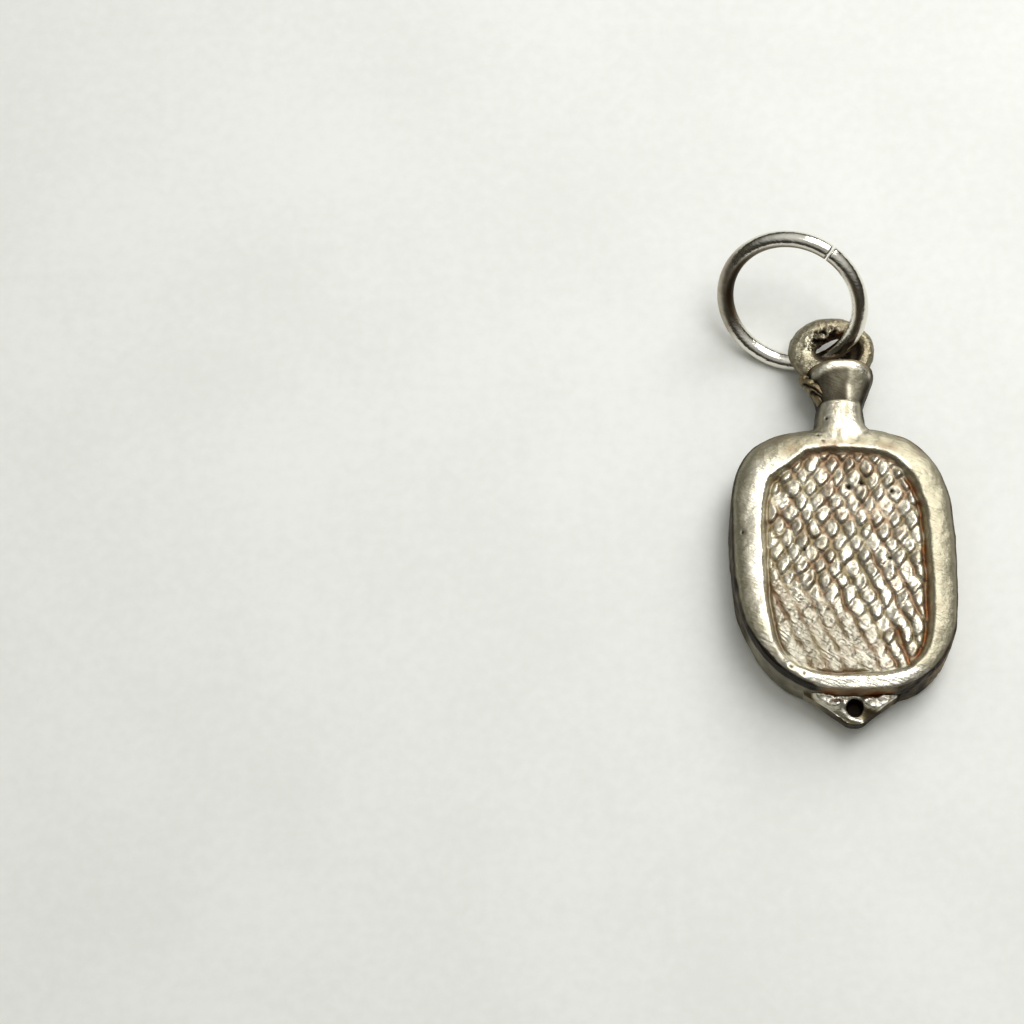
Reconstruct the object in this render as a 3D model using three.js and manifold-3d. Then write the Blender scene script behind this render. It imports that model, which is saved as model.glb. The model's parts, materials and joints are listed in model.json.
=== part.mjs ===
// A cast silver charm in the shape of a hot water bottle, hung on a split jump ring.
// Lengths are millimetres. The bottle lies on its back: +Y points to its mouth, +Z is up.

import * as THREE from 'three';
import { mergeVertices } from 'three/addons/utils/BufferGeometryUtils.js';
import Module from 'manifold-3d';

const wasm = await Module();
wasm.setup();

// Bottle body, measured from the crossing of its two centre lines
const bodyLeftHalf = 4.49;
const bodyRightHalf = 4.23;
const bodyUpperHalf = 5.2;
const bodyLowerHalf = 5.64;
const bodyThickness = 2.5;

// How square each corner is: 2 is an ellipse, a large number a sharp corner
const bodyUpperRight = 2.9;
const bodyUpperLeft = 3.5;
const bodyLowerLeft = 2.3;
const bodyLowerRight = 3.05;
const panelUpperRight = 2.8;
const panelUpperLeft = 3.35;
const panelLowerLeft = 3.8;
const panelLowerRight = 4.1;

// Raised rim and the recessed panel inside it
const rimLeftWidth = 1.32;
const rimRightWidth = 1.18;
const rimTopWidth = 1.06;
const rimBottomWidth = 0.69;
const wallHeight = 1.24;
const wallLean = 0.06;
const shoulderWidth = 0.32;
const landWidth = 0.42;
const grooveDepth = 0.44;
const grooveWidth = 0.16;
const panelRecess = 0.16;

// Diamond hatching cut into the panel, counted from the middle of one diamond
const hatchMiddleX = -0.09;
const hatchMiddleY = -0.17;
const steepCutAngle = 114.2;
const steepCutSpacing = 0.589;
const shallowCutAngle = 49.7;
const shallowCutSpacing = 0.545;
const cutDepth = 0.2;
const cutWidth = 0.36;
const wornCutDepth = 0.1;

// Neck and flared mouth
const neckRadius = 0.94;
const neckLength = 0.9;
const neckRootDepth = 0.8;
const neckStraight = 0.15;
const neckFillet = 0.75;
const neckFilletRise = 0.22;
const mouthLength = 1.9;
const mouthHalfWidth = 1.36;
const mouthHalfDepth = 1.24;
const mouthSideShift = 0.12;
const lipRound = 0.3;
const lipDepthRound = 0.1;

// Hanging tab under the body
const tabReach = 1.05;
const tabBaseHalf = 1.95;
const tabTipRadius = 0.7;
const tabThickness = 0.72;
const tabHeight = 1.05;
const tabHoleDiameter = 0.6;
const tabHoleInset = 0.64;
const tabEdgeRound = 0.12;

// Oval eye seated in the mouth
const eyeWire = 0.82;
const eyeHoleWidth = 1.78;
const eyeHoleLength = 1.28;
const eyeSeatDepth = 0.74;
const eyeSideShift = -0.115;
const seatClearance = 0.02;

// Solder beads behind the mouth
const solderBead = 0.36;
const solderInset = 0.25;
const solderStep = 0.35;
const solderDrop = 0.46;
const solderSink = 0.14;

// Split jump ring, leaning on the eye
const ringWire = 0.65;
const ringBore = 4.76;
const ringTilt = 52.8;
const ringHeading = 22;
const ringThreadAngle = -34.7;
const ringThreadShift = 0.16;
const ringSplitAngle = 69.7;
const ringSplitGap = 0.09;

// How finely the curved shapes are divided
const outlinePoints = 72;
const neckSides = 32;
const eyeSteps = 40;
const eyeSides = 12;
const ringSteps = 60;
const ringSides = 12;

const midHeight = bodyThickness / 2;
const mouthStart = bodyUpperHalf + neckLength;
const mouthEnd = mouthStart + mouthLength;
const eyeRadius = eyeWire / 2;
const eyeHalfWidth = eyeHoleWidth / 2 + eyeRadius;
const eyeHalfLength = eyeHoleLength / 2 + eyeRadius;
const eyeCentre = new THREE.Vector3(
  eyeSideShift,
  mouthEnd - eyeSeatDepth + eyeHalfLength + eyeRadius,
  midHeight,
);
const ringRadius = (ringBore + ringWire) / 2;

const mix = THREE.MathUtils.lerp;
const radians = THREE.MathUtils.degToRad;

// Closed surfaces from rows of points

// Rows of equal length joined side to side; the ends are capped, or joined to each other
function loft(rows, joinEnds = false) {
  const count = rows[0].length;
  const points = rows.flat();
  const faces = [];
  const bands = joinEnds ? rows.length : rows.length - 1;
  for (let row = 0; row < bands; row += 1) {
    const next = (row + 1) % rows.length;
    for (let side = 0; side < count; side += 1) {
      const beside = (side + 1) % count;
      const a = row * count + side;
      const b = row * count + beside;
      const c = next * count + beside;
      const d = next * count + side;
      faces.push(a, b, c, a, c, d);
    }
  }
  if (!joinEnds) {
    const last = (rows.length - 1) * count;
    for (let side = 1; side < count - 1; side += 1) {
      faces.push(0, side + 1, side);
      faces.push(last, last + side, last + side + 1);
    }
  }
  const geometry = new THREE.BufferGeometry().setFromPoints(points);
  geometry.setIndex(faces);
  return geometry;
}

// A three.js geometry as a solid that can be joined and cut
function solid(geometry) {
  const bare = geometry.clone();
  bare.deleteAttribute('normal');
  bare.deleteAttribute('uv');
  const merged = mergeVertices(bare, 1e-5);
  return new wasm.Manifold(new wasm.Mesh({
    numProp: 3,
    vertProperties: Float32Array.from(merged.attributes.position.array),
    triVerts: Uint32Array.from(merged.index.array),
  }));
}

// A solid back as a three.js geometry
function surface(body) {
  const mesh = body.getMesh();
  const geometry = new THREE.BufferGeometry();
  geometry.setAttribute('position', new THREE.BufferAttribute(mesh.vertProperties, 3));
  geometry.setIndex(new THREE.BufferAttribute(mesh.triVerts, 1));
  geometry.computeVertexNormals();
  return geometry;
}

// Bottle body

// One outline between the outer edge (inset 0) and the panel's edge (inset 1), at one height
function outlineRow(inset, height) {
  const left = bodyLeftHalf - rimLeftWidth * inset;
  const right = bodyRightHalf - rimRightWidth * inset;
  const upper = bodyUpperHalf - rimTopWidth * inset;
  const lower = bodyLowerHalf - rimBottomWidth * inset;
  const corners = [
    { width: right, length: upper, body: bodyUpperRight, panel: panelUpperRight },
    { width: left, length: upper, body: bodyUpperLeft, panel: panelUpperLeft },
    { width: left, length: lower, body: bodyLowerLeft, panel: panelLowerLeft },
    { width: right, length: lower, body: bodyLowerRight, panel: panelLowerRight },
  ];
  const row = [];
  for (let i = 0; i < outlinePoints; i += 1) {
    const turn = (2 * Math.PI * i) / outlinePoints;
    const across = Math.cos(turn);
    const along = Math.sin(turn);
    const corner = corners[Math.floor((4 * i) / outlinePoints)];
    const power = mix(corner.body, corner.panel, Math.min(inset, 1));
    const reach = (Math.abs(across) ** power + Math.abs(along) ** power) ** (-1 / power);
    row.push(new THREE.Vector3(reach * across * corner.width, reach * along * corner.length, height));
  }
  return row;
}

// Section of the rim from its widest point, over the crest and down to the panel
function rimSection() {
  const shoulder = shoulderWidth / rimRightWidth;
  const land = landWidth / rimRightWidth;
  const groove = grooveWidth / rimRightWidth;
  const lean = wallLean / rimRightWidth;
  const wallTop = wallHeight / 2;
  const section = [{ inset: 0, height: 0 }, { inset: lean / 3, height: wallTop / 2 }];
  const roundSteps = 3;
  for (let i = 0; i <= roundSteps; i += 1) {
    const turn = ((Math.PI / 2) * i) / roundSteps;
    section.push({
      inset: lean + shoulder * (1 - Math.cos(turn)),
      height: mix(wallTop, midHeight, Math.sin(turn)),
    });
  }
  const landEnd = lean + shoulder + land;
  const slopeSteps = 3;
  for (let i = 0; i <= slopeSteps; i += 1) {
    const turn = ((Math.PI / 2) * i) / slopeSteps;
    section.push({
      inset: mix(landEnd, 1, Math.sin(turn)),
      height: midHeight - grooveDepth * (1 - Math.cos(turn)),
    });
  }
  section.push({ inset: 1 + groove, height: midHeight - panelRecess });
  return section;
}

function bodySolid() {
  const front = rimSection();
  const rows = [];
  for (const { inset, height } of [...front].reverse()) {
    rows.push(outlineRow(inset, midHeight - height));
  }
  for (const { inset, height } of front.slice(1)) {
    rows.push(outlineRow(inset, midHeight + height));
  }
  return solid(loft(rows));
}

// Diamond hatching

// A long wedge along X that cuts a V-shaped groove, its point down from z = 0
function cutterGeometry(length, lowEndDepth) {
  const rows = [lowEndDepth, cutDepth].map((depth, end) => {
    const section = [[-cutWidth, cutDepth], [0, -depth], [cutWidth, cutDepth]];
    return section.map(([y, z]) => new THREE.Vector3((end - 0.5) * length, y, z));
  });
  return loft(rows);
}

// Parallel cuts at one angle across the panel, which grow shallow towards their low end if worn
function cutFamily(angle, spacing, lowEndDepth) {
  const direction = new THREE.Vector2(Math.cos(radians(angle)), Math.sin(radians(angle)));
  const across = new THREE.Vector2(-direction.y, direction.x);
  const centre = new THREE.Vector2(hatchMiddleX, hatchMiddleY);
  const halfDiagonal = Math.hypot(bodyLeftHalf, bodyLowerHalf);
  const cuts = [];
  const count = Math.ceil(halfDiagonal / spacing);
  for (let i = -count; i <= count; i += 1) {
    const cutter = cutterGeometry(2 * halfDiagonal, lowEndDepth);
    const place = across.clone().multiplyScalar((i + 0.5) * spacing).add(centre);
    cutter.rotateZ(radians(angle));
    cutter.translate(place.x, place.y, bodyThickness - panelRecess);
    cuts.push(solid(cutter));
  }
  return wasm.Manifold.union(cuts);
}

// All the cuts of one face, kept inside the groove round the panel
function hatchSolid() {
  const grooveShare = grooveWidth / rimRightWidth;
  const keep = solid(loft([
    outlineRow(1 + grooveShare / 2, midHeight),
    outlineRow(1 + grooveShare / 2, bodyThickness + cutDepth),
  ]));
  const steep = cutFamily(steepCutAngle, steepCutSpacing, cutDepth);
  const shallow = cutFamily(shallowCutAngle, shallowCutSpacing, wornCutDepth);
  return steep.add(shallow).intersect(keep);
}

// Neck and mouth

// Oval sections from inside the body, through the fillet and neck, to the rounded lip
function neckStations(extra) {
  const filletEnd = mouthStart - neckStraight;
  const filletSteps = 6;
  const stations = [{
    y: bodyUpperHalf - neckRootDepth,
    width: neckRadius + neckFillet,
    depth: neckRadius + neckFilletRise,
    shift: 0,
  }];
  for (let i = 0; i <= filletSteps; i += 1) {
    const turn = ((Math.PI / 2) * i) / filletSteps;
    const open = 1 - Math.sin(turn);
    stations.push({
      y: filletEnd - neckFillet * Math.cos(turn),
      width: neckRadius + neckFillet * open,
      depth: neckRadius + neckFilletRise * open,
      shift: 0,
    });
  }
  const flareSteps = 6;
  for (let i = 0; i <= flareSteps; i += 1) {
    const open = Math.sin(((Math.PI / 2) * i) / flareSteps);
    stations.push({
      y: mix(mouthStart, mouthEnd - lipRound, i / flareSteps),
      width: mix(neckRadius, mouthHalfWidth, open),
      depth: mix(neckRadius, mouthHalfDepth, open),
      shift: mouthSideShift * open,
    });
  }
  const lipSteps = 3;
  for (let i = 1; i <= lipSteps; i += 1) {
    const turn = ((Math.PI / 2) * i) / lipSteps;
    stations.push({
      y: mouthEnd - lipRound + (lipRound + extra) * Math.sin(turn),
      width: mouthHalfWidth - lipRound * (1 - Math.cos(turn)),
      depth: mouthHalfDepth - lipDepthRound * (1 - Math.cos(turn)),
      shift: mouthSideShift,
    });
  }
  return stations;
}

function neckSolid(extra = 0) {
  const rows = neckStations(extra).map(({ y, width, depth, shift }) => {
    const row = [];
    for (let i = 0; i < neckSides; i += 1) {
      const turn = (-2 * Math.PI * i) / neckSides;
      row.push(new THREE.Vector3(
        shift + (width + extra) * Math.cos(turn),
        y,
        midHeight + (depth + extra) * Math.sin(turn),
      ));
    }
    return row;
  });
  return solid(loft(rows));
}

// Hanging tab: straight flanks that run tangent into a round tip, with a bored hole
function tabSolid() {
  const endY = -bodyLowerHalf - tabReach;
  const tipY = endY + tabTipRadius;
  const baseY = -bodyLowerHalf + rimBottomWidth / 2;
  const drop = baseY - tipY;
  const flankLength = Math.sqrt(tabBaseHalf ** 2 + drop ** 2 - tabTipRadius ** 2);
  const flankTurn = Math.atan2(tabBaseHalf, drop) - Math.atan2(tabTipRadius, flankLength);
  const round = tabEdgeRound;
  const outline = new THREE.Shape();
  outline.moveTo(tabBaseHalf - round, baseY);
  outline.lineTo(-tabBaseHalf + round, baseY);
  outline.absarc(0, tipY, tabTipRadius - round, Math.PI + flankTurn, -flankTurn, false);
  outline.closePath();
  const plate = new THREE.ExtrudeGeometry(outline, {
    depth: tabThickness - 2 * round,
    bevelEnabled: true,
    bevelThickness: round,
    bevelSize: round,
    bevelSegments: 2,
    curveSegments: 16,
  });
  plate.translate(0, 0, tabHeight - tabThickness / 2 + round);
  const drill = new THREE.CylinderGeometry(tabHoleDiameter / 2, tabHoleDiameter / 2, 2 * tabThickness, 20);
  drill.rotateX(Math.PI / 2);
  drill.translate(0, endY + tabHoleInset, tabHeight);
  return solid(plate).subtract(solid(drill));
}

// Eye seated in the mouth

class OvalCurve extends THREE.Curve {
  getPoint(t, target = new THREE.Vector3()) {
    const turn = 2 * Math.PI * t;
    return target.set(
      eyeCentre.x + eyeHalfWidth * Math.cos(turn),
      eyeCentre.y + eyeHalfLength * Math.sin(turn),
      eyeCentre.z,
    );
  }
}

function eyeSolid(extra = 0) {
  const tube = new THREE.TubeGeometry(new OvalCurve(), eyeSteps, eyeRadius + extra, eyeSides, true);
  return solid(tube);
}

// Solder run down the back left of the mouth, drawn as overlapping beads
function solderSolid() {
  const left = mouthSideShift - mouthHalfWidth;
  const start = mouthEnd - solderInset;
  const beads = [
    { inward: solderSink, size: 1 },
    { inward: solderSink / 2, size: 0.95 },
    { inward: solderSink, size: 1.1 },
    { inward: solderSink * 3, size: 1 },
  ];
  const lumps = beads.map(({ inward, size }, i) => {
    const ball = new THREE.SphereGeometry(solderBead * size, 16, 10);
    ball.translate(left + inward, start - i * solderStep, midHeight - solderDrop);
    return solid(ball);
  });
  return wasm.Manifold.union(lumps);
}

// Split jump ring, drawn in its own plane with +Y up the slope

function ringGeometry() {
  const halfGap = ringSplitGap / ringRadius / 2;
  const start = radians(ringSplitAngle) + halfGap;
  const sweep = 2 * Math.PI - 2 * halfGap;
  const rows = [];
  for (let i = 0; i <= ringSteps; i += 1) {
    const turn = start + (sweep * i) / ringSteps;
    const row = [];
    for (let side = 0; side < ringSides; side += 1) {
      const around = (-2 * Math.PI * side) / ringSides;
      const reach = ringRadius + (ringWire / 2) * Math.cos(around);
      row.push(new THREE.Vector3(
        reach * Math.cos(turn),
        reach * Math.sin(turn),
        (ringWire / 2) * Math.sin(around),
      ));
    }
    rows.push(row);
  }
  return loft(rows);
}

// Materials

const castSilver = new THREE.MeshStandardMaterial({ color: 0xb9b2a2, roughness: 0.42, metalness: 1 });
const eyeSilver = new THREE.MeshStandardMaterial({ color: 0xa39c88, roughness: 0.4, metalness: 1 });
const solderSilver = new THREE.MeshStandardMaterial({ color: 0x8b8068, roughness: 0.5, metalness: 1 });
const wireSilver = new THREE.MeshStandardMaterial({ color: 0xd8d4cc, roughness: 0.2, metalness: 1 });

// Assembly

const neck = neckSolid();
const frontHatch = hatchSolid();
const backHatch = frontHatch.mirror([0, 0, 1]).translate([0, 0, bodyThickness]);
const castingSolid = bodySolid()
  .subtract(frontHatch)
  .subtract(backHatch)
  .add(neck)
  .add(tabSolid())
  .subtract(eyeSolid(seatClearance));
const casting = new THREE.Mesh(surface(castingSolid), castSilver);
casting.name = 'bottle_casting';

const eye = new THREE.Mesh(surface(eyeSolid()), eyeSilver);
eye.name = 'suspension_loop';

const solderBody = solderSolid()
  .subtract(neckSolid(seatClearance))
  .subtract(eyeSolid(seatClearance));
const solder = new THREE.Mesh(surface(solderBody), solderSilver);
solder.name = 'loop_solder';

const ring = new THREE.Mesh(ringGeometry(), wireSilver);
ring.name = 'jump_ring';
const threadPoint = new THREE.Vector3(ringThreadShift, 0, 0).add(eyeCentre);
const ringTurn = new THREE.Euler(radians(ringTilt), 0, -radians(ringHeading), 'ZYX');
const threadArm = new THREE.Vector3(
  ringRadius * Math.cos(radians(ringThreadAngle)),
  ringRadius * Math.sin(radians(ringThreadAngle)),
  0,
).applyEuler(ringTurn);
ring.rotation.copy(ringTurn);
ring.position.copy(threadPoint).sub(threadArm);

// The charm stands on the origin: centred under its outline, lowest point at z = 0
const charm = new THREE.Group();
charm.add(casting, eye, solder, ring);
const extent = new THREE.Box3().setFromObject(charm, true);
const middle = extent.getCenter(new THREE.Vector3());
charm.position.set(-middle.x, -middle.y, -extent.min.z);

const part = new THREE.Group();
part.add(charm);

export default part;
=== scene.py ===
import bpy
import bmesh
import json
import math
import numpy as np
from mathutils import Matrix, Vector, noise


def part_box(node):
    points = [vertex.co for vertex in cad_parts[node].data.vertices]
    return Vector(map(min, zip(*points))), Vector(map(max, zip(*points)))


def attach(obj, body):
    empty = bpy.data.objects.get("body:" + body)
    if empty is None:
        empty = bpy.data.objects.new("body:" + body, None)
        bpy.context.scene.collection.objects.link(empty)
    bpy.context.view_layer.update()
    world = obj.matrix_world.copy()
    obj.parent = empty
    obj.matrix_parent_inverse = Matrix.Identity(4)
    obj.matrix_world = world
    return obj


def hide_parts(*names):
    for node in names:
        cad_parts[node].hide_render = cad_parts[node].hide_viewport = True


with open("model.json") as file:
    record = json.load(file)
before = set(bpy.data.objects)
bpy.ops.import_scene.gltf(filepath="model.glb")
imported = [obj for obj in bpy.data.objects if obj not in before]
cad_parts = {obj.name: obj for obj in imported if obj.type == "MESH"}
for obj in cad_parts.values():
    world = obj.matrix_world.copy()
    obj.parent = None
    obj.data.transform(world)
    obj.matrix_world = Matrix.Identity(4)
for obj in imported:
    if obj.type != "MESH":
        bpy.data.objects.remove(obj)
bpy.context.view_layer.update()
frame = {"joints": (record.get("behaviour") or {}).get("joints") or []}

# Table, camera and light
# The charm lies on a pale table top in soft daylight and is seen from close above, over its tab.
# A lamp hangs close over it and a window stands beyond it to the right. The room is dark low down,
# brightest at a skylight straight above and shaded on the viewer's side. Sizes are in metres.
table_size = 1.2
table_colours = ((0.78, 0.79, 0.745, 1), (0.84, 0.85, 0.81, 1))
camera_place = (-0.01383, -0.05211, 0.13816)
camera_tilt = math.radians(20.6)
camera_heading = math.radians(-1.257)
camera_lens = 132.4
camera_nearest = 0.005
lights = {
    "lamp": {"size": 0.05, "place": (0.022, 0.023, 0.100), "power": 0.042},
    "window": {"size": 0.10, "place": (0.070, 0.110, 0.110), "power": 0.120},
}
daylight_strength = 0.78
daylight_direction = (0.03, 0.14, 0.99)
skylight_direction = (0.0, 0.02, 1.0)
viewer_direction = (-0.095, -0.35, 0.93)
viewer_shade = 0.45
room_dark = (0.06, 0.055, 0.045, 1)
room_light = (1.0, 1.0, 0.97, 1)
skylight_colour = (1.9, 1.9, 1.84, 1)


class Wire:
    """An output of a shader node, on which sums can be written."""

    def __init__(self, tree, socket=None):
        self.tree = tree
        self.socket = socket

    def node(self, kind, settings, inputs, output=0):
        """A new node with its settings and inputs, as the wire from one of its outputs."""
        made = self.tree.nodes.new(kind)
        for name, value in settings.items():
            setattr(made, name, value)
        for name, value in inputs.items():
            if isinstance(value, Wire):
                self.tree.links.new(value.socket, made.inputs[name])
            else:
                made.inputs[name].default_value = value
        return Wire(self.tree, made.outputs[output])

    def maths(self, operation, first, second):
        return self.node("ShaderNodeMath", {"operation": operation}, {0: first, 1: second})

    def __add__(self, other):
        return self.maths("ADD", self, other)

    def __radd__(self, other):
        return self.maths("ADD", other, self)

    def __sub__(self, other):
        return self.maths("SUBTRACT", self, other)

    def __rsub__(self, other):
        return self.maths("SUBTRACT", other, self)

    def __mul__(self, other):
        return self.maths("MULTIPLY", self, other)

    def __rmul__(self, other):
        return self.maths("MULTIPLY", other, self)

    def spread(self, low, high):
        """0 at low and 1 at high, held there beyond them."""
        settings = {"interpolation_type": "SMOOTHSTEP"}
        inputs = {"Value": self, "From Min": low, "From Max": high}
        return self.node("ShaderNodeMapRange", settings, inputs)

    def mix(self, first, second):
        """The first colour where this wire is 0, and the second where it is 1."""
        inputs = {0: self, 6: first, 7: second}
        return self.node("ShaderNodeMix", {"data_type": "RGBA"}, inputs, output=2)


def new_material(name):
    """An empty metal or painted finish: its material, a wire on its tree and its shader."""
    material = bpy.data.materials.new(name)
    material.use_nodes = True
    return material, Wire(material.node_tree), material.node_tree.nodes["Principled BSDF"]


def pattern(wire, size, stretch=(1, 1, 1), turn=0.0, detail=3.0):
    """Grain fixed to the piece: size is its wavelength in mm, drawn out along a direction."""
    place = wire.node("ShaderNodeTexCoord", {}, {}, output="Object")
    laid = wire.node("ShaderNodeMapping", {"vector_type": "TEXTURE"}, {
        "Vector": place,
        "Rotation": (0, 0, turn),
        "Scale": tuple(size / 1000 * times for times in stretch),
    })
    return wire.node("ShaderNodeTexNoise", {}, {
        "Vector": laid, "Scale": 1.0, "Detail": detail, "Roughness": 0.55,
    })


bpy.ops.object.select_all(action="DESELECT")
bpy.ops.mesh.primitive_plane_add(size=table_size)
table = bpy.context.object
table.name = "table_top"
table_finish, wire, shader = new_material("table_top_white")
cloud = pattern(wire, 9.0, detail=2.0)
speck = pattern(wire, 0.5, detail=2.0)
shade = cloud * 0.6 + speck * 0.4
colour = shade.spread(0.3, 0.7).mix(*table_colours)
wire.tree.links.new(colour.socket, shader.inputs["Base Color"])
shader.inputs["Roughness"].default_value = 0.6
shader.inputs["Specular IOR Level"].default_value = 0.3
table.data.materials.append(table_finish)

camera_data = bpy.data.cameras.new("camera")
camera_data.lens = camera_lens
camera_data.clip_start = camera_nearest
camera = bpy.data.objects.new("camera", camera_data)
bpy.context.collection.objects.link(camera)
camera.location = camera_place
camera.rotation_euler = (camera_tilt, 0, camera_heading)
bpy.context.scene.camera = camera

for name, light in lights.items():
    light_data = bpy.data.lights.new(name, "AREA")
    light_data.shape = "SQUARE"
    light_data.size = light["size"]
    light_data.energy = light["power"]
    lamp = bpy.data.objects.new(name, light_data)
    bpy.context.collection.objects.link(lamp)
    lamp.location = light["place"]
    lamp.rotation_euler = (-Vector(light["place"])).to_track_quat("-Z", "Y").to_euler()

world = bpy.data.worlds.new("daylight")
bpy.context.scene.world = world
world.use_nodes = True
sky = Wire(world.node_tree)
direction = sky.node("ShaderNodeTexCoord", {}, {}, output="Generated")
overhead, skylight, viewer = (
    sky.node(
        "ShaderNodeVectorMath",
        {"operation": "DOT_PRODUCT"},
        {0: direction, 1: axis},
        output="Value",
    )
    for axis in (daylight_direction, skylight_direction, viewer_direction)
)
unshaded = 1 - viewer_shade * viewer.spread(0.94, 0.99)
room = (overhead.spread(0.30, 1.0) * unshaded).mix(room_dark, room_light)
lit_room = (skylight.spread(0.95, 0.995) * unshaded).mix(room, skylight_colour)
background = world.node_tree.nodes["Background"]
world.node_tree.links.new(lit_room.socket, background.inputs["Color"])
background.inputs["Strength"].default_value = daylight_strength
bpy.context.scene.view_settings.view_transform = "Standard"

# Bottle casting
# The bottle is one solid lost-wax casting in silver, made from a wax cut by hand: body, rim, hatched
# panels, neck, mouth and tab in one. It is worked here in millimetres and brought down to metres.
body_left = 4.49
body_right = 4.23
body_upper = 5.20
body_lower = 5.64
body_thickness = 2.5
body_corners = (2.9, 3.5, 2.3, 3.05)
panel_corners = (2.8, 3.35, 3.8, 4.1)
rim_left = 1.32
rim_right = 1.18
rim_top = 1.06
rim_bottom = 0.69
panel_recess = 0.16
tab_reach = 1.05
tab_tip_radius = 0.7
tab_base_half = 1.95
tab_thickness = 0.72
tab_edge = 0.34
tab_height = 1.05
tab_hole_radius = 0.3
tab_hole_from_tip = 0.64
tab_hole_y = -body_lower - tab_reach + tab_hole_from_tip
mid_height = body_thickness / 2
foot_bend = 1.8
neck_squareness = 2.5
grain = 0.056

casting_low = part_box("bottle_casting")[0]
body_place = Vector((
    casting_low.x + body_left / 1000,
    casting_low.y + (body_lower + tab_reach) / 1000,
    0,
))


def outline_sizes(x, y, share):
    """Half width, half length and squareness of the outline's corner that holds each point."""
    right = np.asarray(x) >= 0
    upper = np.asarray(y) >= 0
    width = np.where(right, body_right - rim_right * share, body_left - rim_left * share)
    length = np.where(upper, body_upper - rim_top * share, body_lower - rim_bottom * share)
    corners = [a + (b - a) * min(share, 1) for a, b in zip(body_corners, panel_corners)]
    power = np.where(
        upper, np.where(right, corners[0], corners[1]), np.where(right, corners[3], corners[2])
    )
    return width, length, power


def outline_distance(x, y, share):
    """How far a point lies outside the outline at that share from edge (0) to panel (1), in mm."""
    width, length, power = outline_sizes(x, y, share)
    across = np.abs(x) / width + 1e-6
    along = np.abs(y) / length + 1e-6
    size = (across ** power + along ** power) ** (1 / power)
    slope_x = (across / size) ** (power - 1) / width
    slope_y = (along / size) ** (power - 1) / length
    return (size - 1) / np.hypot(slope_x, slope_y)


def turns(mesh):
    """The layer that keeps each point's direction from the middle of the body."""
    return mesh.verts.layers.float.get("turn") or mesh.verts.layers.float.new("turn")


def lay_ring(piece, share, height, foot_height):
    """Lays the selected ring on the outline at that share, and at its own height at the foot."""
    mesh = bmesh.from_edit_mesh(piece.data)
    layer = turns(mesh)
    for vertex in mesh.verts:
        if vertex.select:
            x, y = math.cos(vertex[layer]), math.sin(vertex[layer])
            foot = max(0.0, -y) ** foot_bend
            width, length, power = outline_sizes(x, y, share)
            reach = (abs(x) ** power + abs(y) ** power) ** (-1 / power)
            z = mid_height + height + (foot_height - height) * foot
            vertex.co = (float(reach * x * width), float(reach * y * length), z)
    bmesh.update_edit_mesh(piece.data)


bpy.ops.object.select_all(action="DESELECT")
bpy.ops.mesh.primitive_circle_add(vertices=160, radius=1, fill_type="NGON")
bottle = bpy.context.object
bottle.name = "bottle"
bpy.ops.object.mode_set(mode="EDIT")
mesh = bmesh.from_edit_mesh(bottle.data)
layer = turns(mesh)
for vertex in mesh.verts:
    vertex[layer] = math.atan2(vertex.co.y, vertex.co.x)
bmesh.update_edit_mesh(bottle.data)

# Each level of the rim: its share of the way from edge to panel, its height and that at the foot
rim_levels = [
    (0.90, mid_height, mid_height),
    (0.66, mid_height, mid_height - 0.01),
    (0.52, mid_height - 0.03, mid_height - 0.03),
    (0.38, mid_height - 0.08, mid_height - 0.05),
    (0.26, mid_height - 0.15, mid_height - 0.07),
    (0.15, mid_height - 0.25, mid_height - 0.09),
    (0.06, mid_height - 0.39, mid_height - 0.12),
    (0.00, mid_height - 0.62, mid_height - 0.24),
]
levels = [(share, -height, -foot_height) for share, height, foot_height in rim_levels]
levels += rim_levels[::-1]
for step, level in enumerate(levels):
    if step:
        bpy.ops.mesh.extrude_region_move()
    lay_ring(bottle, *level)
bpy.ops.mesh.select_all(action="SELECT")
bpy.ops.mesh.normals_make_consistent(inside=False)
bpy.ops.object.mode_set(mode="OBJECT")

# Neck and mouth: a round drawn out along the bottle. Each stop is its place on the way up, its half
# width, its half depth and its shift to the right.
neck_stops = [
    (4.10, 1.20, 1.14, 0.00),
    (4.60, 1.36, 1.25, 0.00),
    (4.90, 1.38, 1.24, 0.00),
    (5.10, 1.30, 1.23, 0.00),
    (5.25, 1.16, 1.21, 0.00),
    (5.45, 1.04, 1.18, 0.00),
    (5.80, 0.98, 1.12, 0.00),
    (6.10, 0.94, 1.07, 0.03),
    (6.22, 0.91, 1.04, 0.05),
    (6.30, 0.93, 1.07, 0.07),
    (6.60, 1.02, 1.08, 0.10),
    (6.95, 1.16, 1.11, 0.12),
    (7.30, 1.31, 1.16, 0.12),
    (7.56, 1.37, 1.20, 0.12),
    (7.76, 1.33, 1.23, 0.12),
    (7.92, 1.18, 1.21, 0.12),
    (8.04, 0.92, 1.08, 0.12),
]


def square_up(piece, power):
    """Makes the selected round squarer, so that what is drawn from it has flatter faces."""
    mesh = bmesh.from_edit_mesh(piece.data)
    for vertex in mesh.verts:
        x, y = vertex.co.x, vertex.co.y
        vertex.co *= (abs(x) ** power + abs(y) ** power) ** (-1 / power)
    bmesh.update_edit_mesh(piece.data)


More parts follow.
